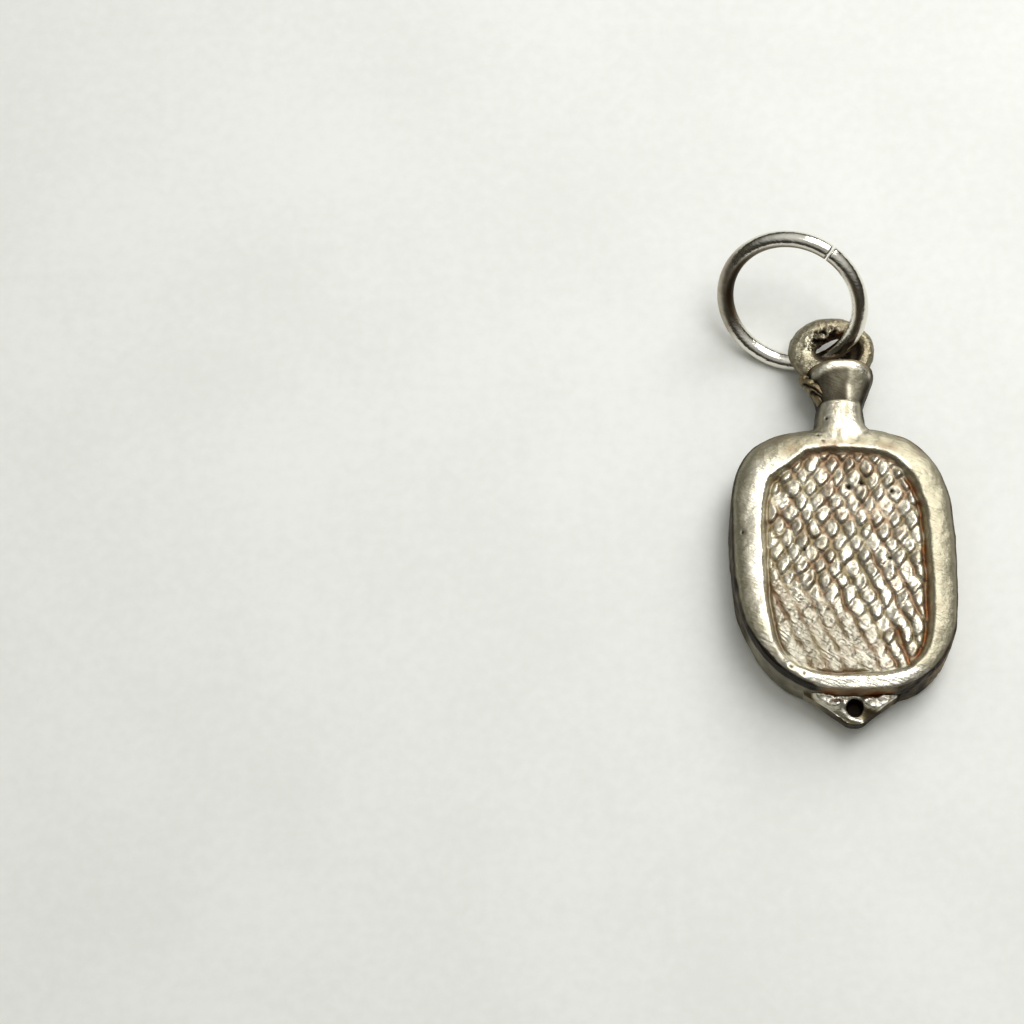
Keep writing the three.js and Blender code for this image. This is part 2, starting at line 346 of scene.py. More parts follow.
y, width, depth, shift = neck_stops[0]
bpy.ops.object.select_all(action="DESELECT")
bpy.ops.mesh.primitive_circle_add(
    vertices=64,
    radius=1,
    fill_type="NGON",
    location=(0, y, mid_height),
    rotation=(math.pi / 2, 0, 0),
)
neck = bpy.context.object
bpy.ops.object.mode_set(mode="EDIT")
square_up(neck, neck_squareness)
bpy.ops.transform.resize(value=(width, 1, depth), center_override=(0, y, mid_height))
for next_y, next_width, next_depth, next_shift in neck_stops[1:]:
    bpy.ops.mesh.extrude_region_move(
        TRANSFORM_OT_translate={"value": (next_shift - shift, next_y - y, 0)}
    )
    bpy.ops.transform.resize(
        value=(next_width / width, 1, next_depth / depth),
        center_override=(next_shift, next_y, mid_height),
    )
    y, width, depth, shift = next_y, next_width, next_depth, next_shift
bpy.ops.mesh.select_all(action="SELECT")
bpy.ops.mesh.normals_make_consistent(inside=False)
bpy.ops.object.mode_set(mode="OBJECT")

# Tab: the hull of a round tip and a bar inside the body, drilled through
tip_y = -body_lower - tab_reach + tab_tip_radius
bar_y = -body_lower + 0.3
bar_width = 0.2
bpy.ops.object.select_all(action="DESELECT")
bpy.ops.mesh.primitive_cylinder_add(
    vertices=96, radius=tab_tip_radius, depth=tab_thickness, location=(0, tip_y, tab_height)
)
tab = bpy.context.object
bpy.ops.object.mode_set(mode="EDIT")
bpy.ops.mesh.primitive_cube_add(size=1, location=(0, bar_y, tab_height))
bpy.ops.transform.resize(
    value=(2 * tab_base_half, bar_width, tab_thickness), center_override=(0, bar_y, tab_height)
)
bpy.ops.mesh.select_all(action="SELECT")
bpy.ops.mesh.convex_hull()
bpy.ops.object.mode_set(mode="OBJECT")
bevel = tab.modifiers.new("edge", "BEVEL")
bevel.width = tab_edge
bevel.segments = 5
bpy.ops.object.modifier_apply(modifier=bevel.name)
bpy.ops.mesh.primitive_cylinder_add(
    vertices=32,
    radius=tab_hole_radius,
    depth=2 * tab_thickness,
    location=(0, tab_hole_y, tab_height),
)
drill = bpy.context.object
bpy.context.view_layer.objects.active = tab
cut = tab.modifiers.new("hole", "BOOLEAN")
cut.operation = "DIFFERENCE"
cut.object = drill
bpy.ops.object.modifier_apply(modifier=cut.name)
bpy.data.objects.remove(drill)

# The hole is stopped half way down by a plug, which reaches a little into its wall; the plug and the
# hole's wall are painted black further on
stopping_hold = 0.06
stopping_depth = 0.2
stopping_drop = 0.15
bpy.ops.object.select_all(action="DESELECT")
bpy.ops.mesh.primitive_cylinder_add(
    vertices=32,
    radius=tab_hole_radius + stopping_hold,
    depth=stopping_depth,
    location=(0, tab_hole_y, tab_height - stopping_drop),
)
stopping = bpy.context.object
bpy.ops.object.mode_set(mode="EDIT")
bpy.ops.mesh.select_all(action="SELECT")
bpy.ops.mesh.bevel(offset=0.05, segments=2)
bpy.ops.object.mode_set(mode="OBJECT")

bpy.ops.object.select_all(action="DESELECT")
for piece in (neck, tab, stopping, bottle):
    piece.select_set(True)
bpy.context.view_layer.objects.active = bottle
bpy.ops.object.join()


def cast(piece, grain_size, soften):
    """Runs the joined solids together into one skin of even grain, and softens its corners."""
    remesh = piece.modifiers.new("skin", "REMESH")
    remesh.mode = "VOXEL"
    remesh.voxel_size = grain_size
    bpy.ops.object.modifier_apply(modifier=remesh.name)
    smooth = piece.modifiers.new("soften", "SMOOTH")
    smooth.factor = 0.5
    smooth.iterations = soften
    bpy.ops.object.modifier_apply(modifier=smooth.name)


def points(piece):
    """Places and normals of a piece's points, as arrays."""
    count = len(piece.data.vertices)
    places = np.zeros(count * 3)
    piece.data.vertices.foreach_get("co", places)
    normals = np.zeros(count * 3)
    piece.data.vertex_normals.foreach_get("vector", normals)
    return places.reshape(-1, 3), normals.reshape(-1, 3)


def move_points(piece, places):
    """Puts a piece's points at new places."""
    piece.data.vertices.foreach_set("co", places.ravel())
    piece.data.update()


def waves(places, size, seed, octaves=2):
    """Smooth hand-made unevenness from -1 to 1 at each place, with bumps of about that size."""
    shift = Vector((17.3 * seed, 5.1 * seed, 9.7 * seed))
    return np.array([
        noise.fractal(Vector(place) / size + shift, 1.0, 2.0, octaves) for place in places
    ])


def rise(value, low, high):
    """0 below low, 1 above high and a smooth step between."""
    share = np.clip((value - low) / (high - low), 0, 1)
    return share * share * (3 - 2 * share)


def near_line(x, y, start, end, radius):
    """1 on a line between two points and 0 from that radius on."""
    run = np.array(end) - np.array(start)
    share = np.clip(((x - start[0]) * run[0] + (y - start[1]) * run[1]) / run.dot(run), 0, 1)
    away = np.hypot(x - start[0] - share * run[0], y - start[1] - share * run[1])
    return 1 - rise(away, 0, radius)


cast(bottle, grain, soften=5)

# The hatching: rows of scales on a slanted net, left standing between two families of cut grooves.
# Each scale rises towards its lower tip. The panel's lower left and foot are worn almost smooth, and
# so are patches elsewhere. At the lower right the scales run together into ropes.
row_step = np.array((0.2477, -0.5506))
line_step = np.array((-0.4218, -0.4976))
first_scale = 0.0821 * row_step + 0.2511 * line_step
scale_depth = 0.12
scale_lean = 0.12
scale_squareness = 2.4
row_waver = 0.12
ditch_depth = 0.2


def hatch(x, y):
    """Height of the hatching, and from 0 to 1 how deep, how near a scale's tip and how worn it is."""
    flat = np.stack([x, y, np.zeros_like(x)], 1)
    bent_x = x + row_waver * waves(flat, 0.8, 1) - first_scale[0]
    bent_y = y + row_waver * waves(flat, 0.8, 2) - first_scale[1]
    net = np.linalg.inv(np.stack([row_step, line_step], 1))
    down = net[0, 0] * bent_x + net[0, 1] * bent_y
    across = net[1, 0] * bent_x + net[1, 1] * bent_y
    cell = np.stack([np.round(down) * 3.7, np.round(across) * 5.3, np.ones_like(x)], 1)
    luck = waves(cell, 1.0, 3, 1)
    size = 1 + 0.3 * waves(cell, 1.0, 4, 1)
    v = down - np.round(down)
    u = across - np.round(across)
    worn = rise(-0.55 * (x + 2.9) - y, 0.4, 1.5) * rise(1.0 - x, -0.5, 1.0)
    foot = rise(-y, 2.6, 3.8) * rise(1.6 - x, -0.3, 1.2)
    roped = rise(-y, -1.2, 1.8) * rise(x - 0.4 * y, -1.2, 1.0) * (1 - worn)
    fade = 1 - 0.24 * roped
    ends = np.where(v > 0, 0.46, 0.56)
    wide = np.abs(u / (0.53 * size)) ** scale_squareness
    long = np.abs(v * fade / (1.14 * ends * size)) ** scale_squareness
    reach = (wide + long) ** (1 / scale_squareness)
    scale = 1 - rise(reach, 0.55, 1.05)
    height = scale * (scale_depth + 0.09 * luck + scale_lean * v * fade) - scale_depth
    rubbed = rise(waves(flat, 1.0, 22), 0.0, 0.4)
    kept = (1 - 0.68 * worn) * (1 - 0.45 * foot) * (1 - 0.5 * rubbed)
    smooth = -0.35 * scale_depth * (1 - kept)
    rough = (0.045 + 0.03 * worn) * waves(flat, 0.28, 21, 3) + 0.05 * waves(flat, 1.1, 26)
    crease = rise(np.abs(u), 0.32, 0.46) * worn * np.clip(0.7 + 1.3 * waves(flat, 0.7, 23), 0, 1)
    between = roped * rise(np.abs(u), 0.34, 0.5) * np.clip(0.5 + 2.0 * waves(flat, 0.9, 29), 0, 1)
    height = height * kept + smooth + rough - 0.07 * crease - 0.05 * between
    deep = np.clip(rise(1 - scale, 0.35, 0.95) * kept + 0.7 * crease + 0.5 * between, 0, 1)
    tip = scale * rise(v, 0.0, 0.3) * (1 - worn)
    return height, deep, tip, np.clip(worn + 0.6 * foot, 0, 1)


# The panel's upper left corner is cut straight, and one deep red cut runs down its lower right
corner_point = (-2.69, 3.06)
corner_slope = (-0.609, 0.793)
red_cut_ends = ((1.72, -3.2), (2.10, -4.6))
red_cut_half = 0.16
# Kinds of stain. Tarnish and soot also carry painted shade, and polish also painted highlight
stain_and_shading_kinds = ("tarnish_and_shade", "rust", "filed", "soot_and_shade", "polish_and_sheen")


def dress_face(places, is_front):
    """Sinks the panel, cuts its ditch and hatching into one face and gives the stains, painted shade
    and highlight of each.
    """
    x, y = places[:, 0], places[:, 1]
    height = places[:, 2] if is_front else body_thickness - places[:, 2]
    corner = corner_slope[0] * (x - corner_point[0]) + corner_slope[1] * (y - corner_point[1])
    outside = np.maximum(outline_distance(x, y, 1.0), corner)
    face = (height > body_thickness - 0.3) & (outside < 0.4)
    x, y, out = x[face], y[face], outside[face]
    flat = np.stack([x, y, np.zeros_like(x)], 1)
    out = out + 0.04 * waves(flat, 0.9, 12)
    relief, deep, tip, worn = hatch(x, y)
    top = rise(y, 3.0, 3.6)
    left = rise(-x, 2.0, 2.7) * rise(y, -4.4, -3.6)
    right = rise(x, 1.9, 2.5) * rise(y, -4.9, -4.3)
    bottom = rise(x, -1.6, -1.2) * rise(0.9 - x, 0, 0.8) * rise(-y, 4.0, 4.6)
    patchy = 0.75 + 0.5 * waves(flat, 0.5, 13)
    ditch_half = 0.085 - 0.01 * top + 0.025 * right
    ditch = np.exp(-((out + ditch_half) / ditch_half) ** 2)
    ditch *= np.clip(np.maximum.reduce([top, 0.75 * left, right, 0.8 * bottom]), 0, 1)
    red_cut = near_line(x, y, *red_cut_ends, red_cut_half)
    deep_cut = np.maximum(ditch, red_cut)
    wall = rise(out, -0.07 + 0.04 * top, 0.20 - 0.08 * top)
    lip = np.exp(-((out - 0.16) / 0.09) ** 2) * (0.2 + 0.6 * top)
    inner = 1 - rise(out, -0.20, -0.04)
    sunk = -panel_recess * (1 - wall) + relief * inner * (1 - red_cut)
    sunk = sunk - ditch_depth * (1 - 0.8 * top) * deep_cut + 0.03 * lip
    places[face, 2] += sunk if is_front else -sunk
    stains_and_shading = {kind: np.zeros(len(places)) for kind in stain_and_shading_kinds}
    grubby = 0.36 + 0.30 * waves(flat, 0.8, 24)
    stains_and_shading["tarnish_and_shade"][face] = np.clip((grubby + 0.55 * deep) * inner + deep_cut * patchy, 0, 1)
    reddened = np.clip(0.9 * right + red_cut + 0.5 * left, 0, 1)
    stains_and_shading["rust"][face] = np.clip(deep_cut * patchy * reddened, 0, 1)
    stains_and_shading["filed"][face] = worn * inner
    # The ditch and the red cut are darkened: dirt, and painted shade at the top
    stains_and_shading["soot_and_shade"][face] = 0.15 * ditch * top + (0.25 + 0.15 * right) * deep_cut
    # Raised tips and the top lip are polished brighter, partly as painted highlight
    stains_and_shading["polish_and_sheen"][face] = (0.60 + 0.60 * tip) * (1 - deep) * inner + 0.8 * lip * top
    return stains_and_shading


places, normals = points(bottle)
stains_and_shading = dress_face(places, True)
for kind, values in dress_face(places, False).items():
    stains_and_shading[kind] += values
x, y, z = places.T.copy()
front = rise(normals[:, 2], 0.2, 0.7)

# Pits left by gas in the silver, drawn as small dark dips, each a place and a radius
pits = (
    (0.67, 2.82, 0.09),
    (0.16, 2.67, 0.10),
    (1.81, 2.46, 0.10),
    (1.58, -0.28, 0.09),
    (-1.67, 0.11, 0.07),
    (-4.05, 0.83, 0.06),
    (-0.57, 5.51, 0.07),
    (-0.94, 4.77, 0.05),
    (-0.77, 4.50, 0.045),
)
for pit_x, pit_y, radius in pits:
    pit = front * np.exp(-((x - pit_x) ** 2 + (y - pit_y) ** 2) / radius ** 2)
    places[:, 2] -= 1.2 * radius * pit
    stains_and_shading["soot_and_shade"] += 1.2 * pit

# Two blobs of flashing on the rim's lower left, each with a dimple
for blob_x, blob_y in ((-2.44, -4.67), (-1.96, -4.96)):
    away = np.hypot(x - blob_x, y - blob_y)
    blob = 0.13 * np.exp(-(away / 0.24) ** 2)
    dimple = 0.14 * np.exp(-(away / 0.09) ** 2)
    places[:, 2] += front * (blob - dimple)
    stains_and_shading["tarnish_and_shade"] += 0.9 * front * np.exp(-(away / 0.10) ** 2)
    stains_and_shading["soot_and_shade"] += 0.5 * front * np.exp(-(away / 0.08) ** 2)

# Thick ridge over the tab's hole, from wing to wing, and a crescent under it
tab_ridge = (
    (-1.36, -5.46),
    (-0.76, -5.80),
    (-0.38, -5.72),
    (0.0, -5.62),
    (0.36, -5.78),
    (0.84, -5.93),
    (1.38, -5.68),
)
above_tab = 1.9
at_tab = rise(-y, 5.3, 5.5) * (z < above_tab)
tab_face = front * at_tab
from_hole = np.hypot(x, y - tab_hole_y)
lip = np.maximum.reduce([
    near_line(x, y, start, end, 0.42) for start, end in zip(tab_ridge, tab_ridge[1:])
])
lip = rise(lip, 0.0, 0.75) * rise(from_hole, tab_hole_radius, tab_hole_radius + 0.05)
places[:, 2] += 0.26 * lip * tab_face * (1 + 0.5 * waves(places, 0.4, 28))
places[:, 2] -= tab_face * (0.24 * rise(-y, 6.0, 6.7) + 0.10 * (1 - lip) * rise(y, -5.80, -5.65))
toe = np.maximum(
    near_line(x, y, (-0.50, -6.15), (-0.22, -6.46), 0.24),
    near_line(x, y, (-0.22, -6.46), (0.26, -6.58), 0.20),
)
places[:, 2] += 0.12 * toe * tab_face
ridge = np.maximum(lip, toe)
# Between the ridges the tab is browned and darkened: tarnish and painted shade
hollow = tab_face * (1 - ridge)
# The left flank is kept lighter and polished, and the ridges are polished: painted highlight
highlit_left_flank = rise(-x, 0.1, 0.5) * rise(-y, 5.6, 5.8)
stains_and_shading["tarnish_and_shade"] += hollow * (0.55 - 0.35 * highlit_left_flank + 0.35 * rise(y, -5.95, -5.75))
stains_and_shading["rust"] += 0.5 * tab_face * (1 - lip) * rise(y, -5.85, -5.65)
stains_and_shading["soot_and_shade"] += hollow * (0.15 - 0.12 * highlit_left_flank + 0.25 * rise(y, -5.85, -5.65))
stains_and_shading["polish_and_sheen"] += tab_face * np.maximum(1.3 * ridge, 0.7 * highlit_left_flank)
# The right flank is painted darker: painted shade
shaded_right_flank = rise(-y, 5.5, 5.8) * rise(x, 0.2, 0.5) * (1 - rise(lip, 0.2, 0.6))
stains_and_shading["tarnish_and_shade"] += 0.7 * shaded_right_flank
stains_and_shading["soot_and_shade"] += 0.45 * shaded_right_flank
# The hole's wall and the plug in it are painted black
stains_and_shading["soot_and_shade"] += 1.5 * rise(tab_hole_radius + 0.04 - from_hole, 0, 0.05) * (z < 1.6)

# Hand-worn unevenness all over, a dent in the rim's lower left corner and a rough lower right wall
dent_place = (-3.2, -4.2)
dent_radius = 0.5
dent_depth = 0.10
side = 1 - rise(np.abs(normals[:, 2]), 0.35, 0.8)
lower_right = rise(x, 0.6, 2.0) * rise(-y, 3.6, 4.6)
uneven = 0.050 * waves(places, 1.5, 5) + 0.016 * waves(places, 0.45, 6) - 0.025
from_dent = (x - dent_place[0]) ** 2 + (y - dent_place[1]) ** 2
dent = front * np.exp(-from_dent / dent_radius ** 2)
uneven -= dent_depth * dent
uneven += 0.05 * side * lower_right * waves(places, 0.35, 7)
places += normals * uneven[:, None]
places[:, 2] = np.clip(places[:, 2], 0.0, body_thickness)

# The walls are stained and painted nearly black in patches, paler below the rim at the lower left and
# the right, and rusty where they meet the tab. The black is partly soot and partly painted shade and
# dark reflection
mottle = 0.5 + 0.5 * waves(places, 0.6, 14)
at_neck = rise(y, 4.3, 4.9) * rise(2.2 - np.abs(x), 0.0, 0.5)
# A dark line along the outer edge: painted dark reflection, with some tarnish
shaded_shoulder = rise(0.16 + outline_distance(x, y, 0.0), 0.0, 0.14) * (1 - at_neck) * (1 - at_tab)
lower_left = rise(-x, 0.8, 1.8) * rise(-y, 2.6, 3.6)
stains_and_shading["tarnish_and_shade"] += 0.9 * dent * mottle
stains_and_shading["soot_and_shade"] += 0.5 * dent * mottle
foot_wall = rise(-y, 4.9, 5.2) * rise(y, -5.95, -5.8) * rise(1.7 - np.abs(x), 0.0, 0.5)
browned_and_shaded = side * (0.25 + 0.3 * mottle) + 0.3 * shaded_shoulder
stains_and_shading["tarnish_and_shade"] += browned_and_shaded * (1 - lower_left) + 0.6 * side * lower_right
stains_and_shading["tarnish_and_shade"] += 1.2 * side * foot_wall * mottle
stains_and_shading["rust"] += side * mottle * (0.4 * lower_right + 1.5 * foot_wall * rise(2.15 - z, 0.0, 0.25))
below_rim = rise(1.9 - z, 0.0, 0.2)
paler = 0.05 + 0.4 * lower_left + 0.5 * rise(x, 2.5, 3.5)
black = (0.5 + 0.6 * mottle) * (1 - paler * below_rim) * (1 - 0.75 * foot_wall)
stains_and_shading["soot_and_shade"] += black * np.maximum(side, shaded_shoulder * (1 - foot_wall))
# A dark line under the rim's edge at the lower left: painted dark reflection
stains_and_shading["soot_and_shade"] += 0.5 * side * lower_left * rise(z, 1.65, 1.9)

# The rim is rubbed brighter towards the panel and at the left and brightest at its foot, partly as
# painted highlight, and is dull and darker at its top and right, partly tarnish and partly painted
# shade
inset = -outline_distance(x, y, 0.0)
dull_and_shaded_rim = np.maximum(0.8 * rise(y, 3.4, 4.2) * (1 - at_neck), 0.45 * rise(x, 2.7, 3.3))
stains_and_shading["tarnish_and_shade"] += dull_and_shaded_rim * front * mottle
rim = rise(outline_distance(x, y, 1.0), -0.02, 0.06) * (np.abs(y) < 5.7)
crown_polish_and_sheen = rise(inset, 0.25, 0.95) * (0.2 + 1.2 * rise(-x, 1.0, 2.5)) * (1 - 0.9 * rise(y, 3.4, 4.2))
at_foot = np.maximum(rise(-y, 4.7, 5.1), 0.35 * lower_left)
crown_polish_and_sheen = np.maximum(crown_polish_and_sheen, 3.4 * rise(inset, -0.02, 0.10) * at_foot)
stains_and_shading["polish_and_sheen"] += 0.42 * rim * crown_polish_and_sheen * (1 - at_neck) * (1 + 0.5 * waves(places, 0.7, 25))

# The neck's front is rubbed bright. The crest of the mouth's lip and a streak down its face carry
# painted highlight; the mouth's face and the band above the crest are painted dark: painted shade and
# dark reflection
arc_middle = (0.12, 5.88)
crest_radius = 1.88
bare_neck = np.exp(-((x - 0.08) / 0.72) ** 4) * rise(y, 4.3, 5.0) * rise(6.25 - y, 0, 0.08)
stains_and_shading["polish_and_sheen"] += bare_neck * front * (0.6 + 1.0 * waves(places * (3.0, 0.8, 1.0), 0.6, 27))
stains_and_shading["tarnish_and_shade"] += bare_neck * front * (0.25 + 0.5 * waves(places, 0.3, 30))
mouth_arc = np.hypot(x - arc_middle[0], y - arc_middle[1])
crest_highlight = np.exp(-((mouth_arc - crest_radius) / 0.10) ** 2) * rise(y, 7.0, 7.4)
shade_above_crest = rise(mouth_arc, 1.94, 2.06) * rise(y, 7.2, 7.5)
mouth_face = front * rise(y, 6.22, 6.30) * rise(1.85 - mouth_arc, 0, 0.25)
right_facet = rise(x, 0.3, 0.5)
streak_highlight = np.exp(-((x - 0.36) / 0.1) ** 2) * rise(7.2 - y, 0, 0.4)
stains_and_shading["polish_and_sheen"] += (1.2 * crest_highlight + mouth_face * (0.6 * streak_highlight + 0.1 * right_facet)) * front
stains_and_shading["tarnish_and_shade"] += mouth_face * (0.2 + 0.4 * mottle) * (1 - 0.6 * right_facet) + 0.6 * shade_above_crest
stains_and_shading["soot_and_shade"] += mouth_face * (0.60 + 0.2 * mottle) * (1 - 0.40 * right_facet) * (1 - 0.5 * streak_highlight)


def lay_stains_and_shading(piece, stains_and_shading):
    """Keeps how strongly each kind of stain, painted shade and painted highlight lies on each point,
    from 0 to 1.
    """
    for kind, values in stains_and_shading.items():
        attribute = piece.data.attributes.new(kind, "FLOAT", "POINT")
        attribute.data.foreach_set("value", np.clip(values, 0, 1))


def bring_down(piece, place):
    """From millimetres on the bench to metres, at its place in the charm."""
    piece.data.transform(Matrix.Translation(place) @ Matrix.Scale(0.001, 4))
    for face in piece.data.polygons:
        face.use_smooth = True
    piece.data.update()


move_points(bottle, places)
lay_stains_and_shading(bottle, stains_and_shading)
bring_down(bottle, body_place)

# The silver's skin is brushed one way and filed another, and its stains are brown, rust and soot; the
# brown and the soot also carry painted shade, and the polish painted highlight
brush_turn = math.radians(-24)
file_turn = math.radians(-37)
scratch_depth = 0.00008
brown_and_shade_colours = ((0.29, 0.195, 0.12, 1), (0.26, 0.21, 0.12, 1))
rust_colour = (0.30, 0.11, 0.03, 1)
soot_and_shade_colour = (0.022, 0.017, 0.012, 1)


def silver(name, bright, dull, roughness, relief):
    """Silver, brighter where polished or with painted highlight, brown and rusty in its hollows,
    darker with soot and painted shade, with a brushed skin.
    """
    material, wire, shader = new_material(name)
    tarnish_and_shade, rust, filed, soot_and_shade, polish_and_sheen = (
        wire.node("ShaderNodeAttribute", {"attribute_name": kind}, {}, output="Fac")
        for kind in stain_and_shading_kinds
    )
    cloud = pattern(wire, 1.6, detail=5.0)
    fine = pattern(wire, 0.35, detail=4.0)
    brushed = pattern(wire, 0.09, stretch=(6, 1, 1), turn=brush_turn, detail=3.0)
    scratched = pattern(wire, 0.12, stretch=(6, 1, 1), turn=file_turn, detail=4.0)
    shine = polish_and_sheen + cloud * 0.8 + fine * 0.4 + brushed * 0.3 - 0.65
    skin = shine.spread(0.0, 1.05).mix(dull, bright)
    hollow = (tarnish_and_shade + fine * 0.6 + cloud * 0.3 - 0.45).spread(0.12, 0.95)
    brown = cloud.spread(0.42, 0.58).mix(*brown_and_shade_colours)
    stained = hollow.mix(skin, brown)
    rusty = (rust + fine * 0.8 - 0.4).spread(0.3, 0.9).mix(stained, rust_colour)
    black = soot_and_shade.spread(0.0, 1.0).mix(rusty, soot_and_shade_colour)
    wire.tree.links.new(black.socket, shader.inputs["Base Color"])
    gloss = cloud * 0.1 + tarnish_and_shade * 0.12 - polish_and_sheen * 0.18 + soot_and_shade * 0.15 + roughness
    wire.tree.links.new(gloss.socket, shader.inputs["Roughness"])
    shader.inputs["Metallic"].default_value = 1.0
    skin_grain = brushed * 0.6 + fine * 0.8 + scratched * (filed * 3.0 + 0.2)
    bump = wire.node("ShaderNodeBump", {}, {
        "Height": skin_grain, "Strength": relief, "Distance": scratch_depth,
    })
    wire.tree.links.new(bump.socket, shader.inputs["Normal"])
    return material


cast_silver = silver("cast_silver", (0.76, 0.72, 0.60, 1), (0.38, 0.35, 0.25, 1), 0.40, 0.6)
bottle.data.materials.clear()
bottle.data.materials.append(cast_silver)
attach(bottle, "charm")
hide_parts("bottle_casting")

# Suspension loop
# A closed oval eye of thick silver wire, seated in the bottle's mouth and soldered there. The left arm
# is thicker than the right, where the solder ran up it, and its skin is grainy from the torch. The
# jump ring, whose sizes stand here too, has worn a smooth bed in it.
loop_low, loop_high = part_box("suspension_loop")
loop_middle = (loop_low + loop_high) / 2
loop_half_width = (loop_high.x - loop_low.x) * 500
loop_half_length = (loop_high.y - loop_low.y) * 500
loop_half_height = (loop_high.z - loop_low.z) * 500
loop_left_wire = 1.12
loop_right_wire = 0.66
seat_turn = -0.38
seat_spread = 0.65
seat_depth = 0.85
nugget_height = 0.28
ring_low, ring_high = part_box("jump_ring")
ring_middle = (ring_low + ring_high) / 2
ring_wire = 0.65
ring_bore = 4.76
ring_radius = (ring_bore + ring_wire) / 2
ring_tilt = math.radians(52.8)
ring_heading = math.radians(-22)
ring_clearance = 0.02
swing = frame["joints"][0]
swing_step = 4


def worn_by_ring(places, middle):
    """Clears points out of the way of the jump ring's wire, all through its swing."""
    axis = Vector(swing["axis"])
    pivot = (Vector(swing["pos_m"]) - middle) * 1000
    start = (ring_middle - middle) * 1000
    lean = Matrix.Rotation(ring_heading, 3, "Z") @ Matrix.Rotation(ring_tilt, 3, "X")
    first, last = (round(limit) for limit in swing["range_deg"])
    for degrees in range(last, first - 1, -swing_step):
        turned = Matrix.Rotation(math.radians(degrees), 3, axis)
        centre = np.array(pivot + turned @ (start - pivot))
        plane = np.array(turned @ lean @ Vector((0, 0, 1)))
        from_centre = places - centre
        level = from_centre - np.outer(from_centre @ plane, plane)
        wire_middle = centre + level * (ring_radius / np.linalg.norm(level, axis=1))[:, None]
        from_wire = places - wire_middle
        distance = np.linalg.norm(from_wire, axis=1)
        short = np.clip(ring_wire / 2 + ring_clearance - distance, 0, None)
        places += from_wire * (short / distance)[:, None]


bpy.ops.object.select_all(action="DESELECT")
bpy.ops.mesh.primitive_torus_add(
    major_radius=2, minor_radius=1, major_segments=260, minor_segments=64
)
loop = bpy.context.object
loop.name = "eye"
places, normals = points(loop)
turn = np.arctan2(places[:, 1], places[:, 0])
reach = np.hypot(places[:, 0], places[:, 1]) - 2
wire_width = loop_right_wire + (loop_left_wire - loop_right_wire) * rise(-np.cos(turn), -0.9, 0.6)
# The wire swells inward at the lower right into a seat that fills the gap under the ring, painted
# black as painted shade
shaded_seat = np.exp(-((turn - seat_turn) / seat_spread) ** 2) * rise(-reach, -0.3, 0.7)
shaded_seat *= rise(-places[:, 2], -0.3, 0.3)
inward = (reach - 1) * wire_width / 2 - seat_depth * shaded_seat
places[:, 0] = np.cos(turn) * (loop_half_width + inward)
places[:, 1] = np.sin(turn) * (loop_half_length + inward)
places[:, 2] *= loop_half_height * (0.86 + 0.14 * rise(-np.cos(turn), -0.6, 0.4))
move_points(loop, places)

places, normals = points(loop)
inside = rise(-reach, -0.3, 0.6)
upper_left = rise(-np.cos(turn), -0.5, 0.2) * rise(np.sin(turn), -0.4, 0.3)
torch_grain = 0.045 * waves(places, 0.75, 8) + 0.018 * waves(places, 0.18, 9)
nuggets = waves(places, 0.24, 10, 3) * inside * upper_left * rise(places[:, 2], -0.1, 0.1)
places += normals * (torch_grain + nugget_height * nuggets - 0.02)[:, None]
worn_by_ring(places, loop_middle)
move_points(loop, places)
# The inner wall is tarnished and rusty and painted darker, partly painted shade. The undersides are
# painted dark as painted shade, and the nuggets' tops are lightened and their dips darkened: painted
# highlight and shade
wall = rise(-reach, 0.45, 0.85)
shaded_under = 1 - rise(normals[:, 2], 0.2, 0.75)
rubbed = 0.05 + 0.25 * rise(-np.cos(turn), 0.2, 0.9) + 5.0 * nuggets
lay_stains_and_shading(loop, {
    "tarnish_and_shade": 0.42 + 0.55 * wall,
    "rust": 0.8 * wall * rise(np.sin(turn), 0.4, 0.9),
    "soot_and_shade": np.maximum.reduce([0.75 * wall, 0.5 * shaded_under, -5.0 * nuggets, 2.0 * shaded_seat]),
    "polish_and_sheen": rubbed * (1 - wall) * (1 - shaded_under),
})
bring_down(loop, loop_middle)
eye_silver = silver("eye_silver", (0.66, 0.63, 0.49, 1), (0.28, 0.262, 0.175, 1), 0.32, 1.0)
loop.data.materials.append(eye_silver)
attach(loop, "charm")
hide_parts("suspension_loop")

# Solder
# A lumpy run of silver solder down the back left of the mouth, which fixes the eye. It froze in folds
# with dark slits between them, brown with old flux.
solder_thickness = 0.36
solder_grain = 0.03
slit_half = 0.08
slit_depth = 0.08

# Each lump is its place, its half length, its half width and its turn
solder_lumps = (
    (-1.18, 7.42, 1.45, 0.32, 0.24, 0.4),
    (-1.05, 7.16, 1.62, 0.36, 0.28, 0.6),
    (-0.88, 6.88, 1.74, 0.38, 0.28, 0.8),
    (-0.72, 6.62, 1.74, 0.36, 0.26, 0.9),
    (-0.62, 6.40, 1.66, 0.28, 0.22, 0.95),
)
solder_slits = (
    ((-1.35, 7.18), (-0.65, 6.58)),
    ((-1.05, 6.74), (-0.55, 6.34)),
    ((-1.2, 7.44), (-0.7, 7.20)),
)

